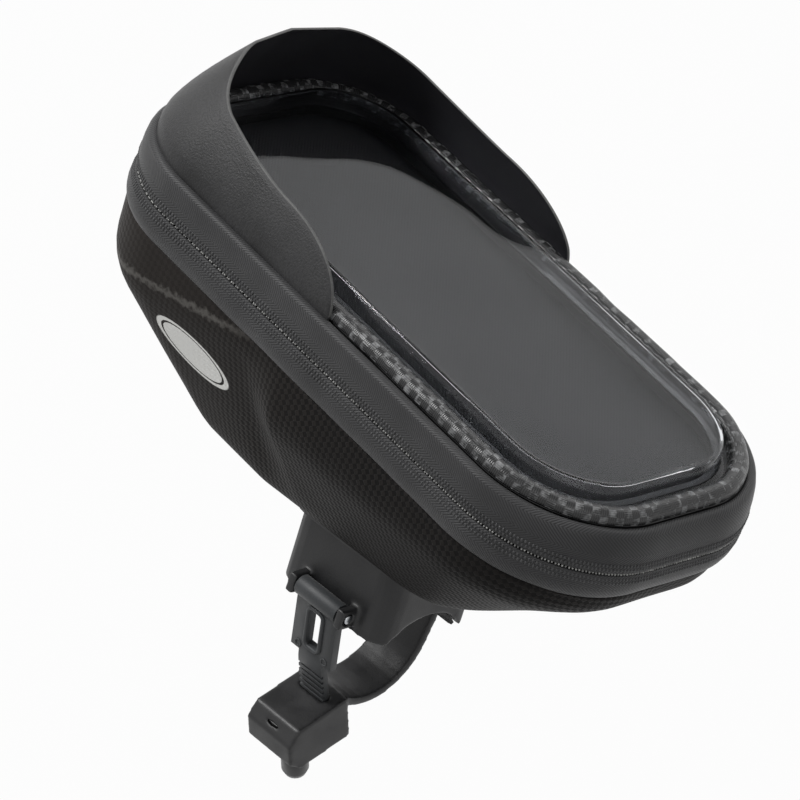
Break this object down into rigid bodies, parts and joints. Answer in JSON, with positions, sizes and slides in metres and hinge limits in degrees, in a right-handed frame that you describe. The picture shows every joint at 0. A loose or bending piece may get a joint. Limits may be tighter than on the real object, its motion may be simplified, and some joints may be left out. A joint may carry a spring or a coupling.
{
  "type": "handlebar phone pouch",
  "caption": "Wedge-shaped hard pouch with a zipped, windowed lid for a phone, a sun hood and a quick-release bracket that straps round a bicycle stem.",
  "frame": {"origin": "crown of the saddle pad, the highest point of the stem that the bracket sits on", "axes": "+Z square to the lid, +Y forward to the hood, +X to the rider's right; the stem runs along +Y, 8 degrees nose down against the lid"},
  "size_m": [0.1116, 0.2084, 0.1844],
  "materials": {
    "embossed_shell": "satin embossed skin in a small checker weave",
    "eva_foam": "moulded foam",
    "zip_tape": "film-laminated herringbone tape",
    "zip_coil": "nylon coil",
    "gloss_border": "gloss",
    "carbon_piping": "gloss carbon-look weave",
    "clear_film": "clear gloss",
    "hood_sheet": "matte fine grain",
    "lining": "knit",
    "touch_tape": "hook and loop pile",
    "black_nylon": "fine moulded texture",
    "knob_plastic": "satin",
    "strap_elastomer": "satin",
    "black_rubber": "matte",
    "plated_steel": "zinc plate",
    "black_nickel": "dark plate"
  },
  "bodies": {
    "bracket": {"stem_bracket": "black_nylon", "saddle_pad": "black_rubber", "left_strap_pin": "plated_steel", "right_strap_pin": "plated_steel", "toothed_strap": "strap_elastomer", "clamp_arm": "black_nylon", "release_spring": "plated_steel"},
    "knob": {"tension_knob": "knob_plastic"},
    "latch": {"release_button": "knob_plastic"},
    "bag": {"shell": "embossed_shell", "lower_zip_tape": "zip_tape", "lower_zip_coil": "zip_coil", "hinge_strip": "zip_tape", "mount_plate": "black_nylon", "backing_plate": "black_nylon", "mount_screw_1": "plated_steel", "mount_screw_2": "plated_steel", "mount_screw_3": "plated_steel", "mount_screw_4": "plated_steel", "floor_pad": "lining"},
    "lid": {"lid_frame": "eva_foam", "upper_zip_tape": "zip_tape", "upper_zip_coil": "zip_coil", "window_border": "gloss_border", "piping": "carbon_piping", "window_film": "clear_film", "hood": "hood_sheet", "pocket_panel": "lining", "pocket_loop_strip": "touch_tape", "pocket_hook_strip": "touch_tape"},
    "slider": {"zip_slider": "black_nickel"},
    "puller": {"zip_puller": "black_rubber"}
  },
  "joints": [
    {"name": "bag_release", "type": "slide", "parent": "bracket", "child": "bag", "axis": [0, 0.9903, -0.1392], "range_m": [0, 0.045]},
    {"name": "lid_hinge", "type": "hinge", "parent": "bag", "child": "lid", "pos_m": [0, 0.12026, 0.08021], "axis": [-1, 0, 0], "range_deg": [0, 100], "deforming": ["hinge_strip"]},
    {"name": "zip_slide", "type": "slide", "parent": "bag", "child": "slider", "axis": [0, -1, 0], "range_m": [0, 0.116]},
    {"name": "zip_pull_swing", "type": "hinge", "parent": "slider", "child": "puller", "pos_m": [0.05625, 0.07606, 0.08021], "axis": [0, -1, 0], "range_deg": [0, 170]},
    {"name": "release_press", "type": "slide", "parent": "bracket", "child": "latch", "axis": [0, -0.1392, -0.9903], "range_m": [0, 0.0025], "stiffness_N_per_m": 400, "springref_m": -0.001, "deforming": ["release_spring"]},
    {"name": "knob_turn", "type": "hinge", "parent": "bracket", "child": "knob", "pos_m": [-0.02633, -0.00406, -0.02889], "axis": [0.3907, -0.1281, -0.9115], "continuous": true}
  ]
}
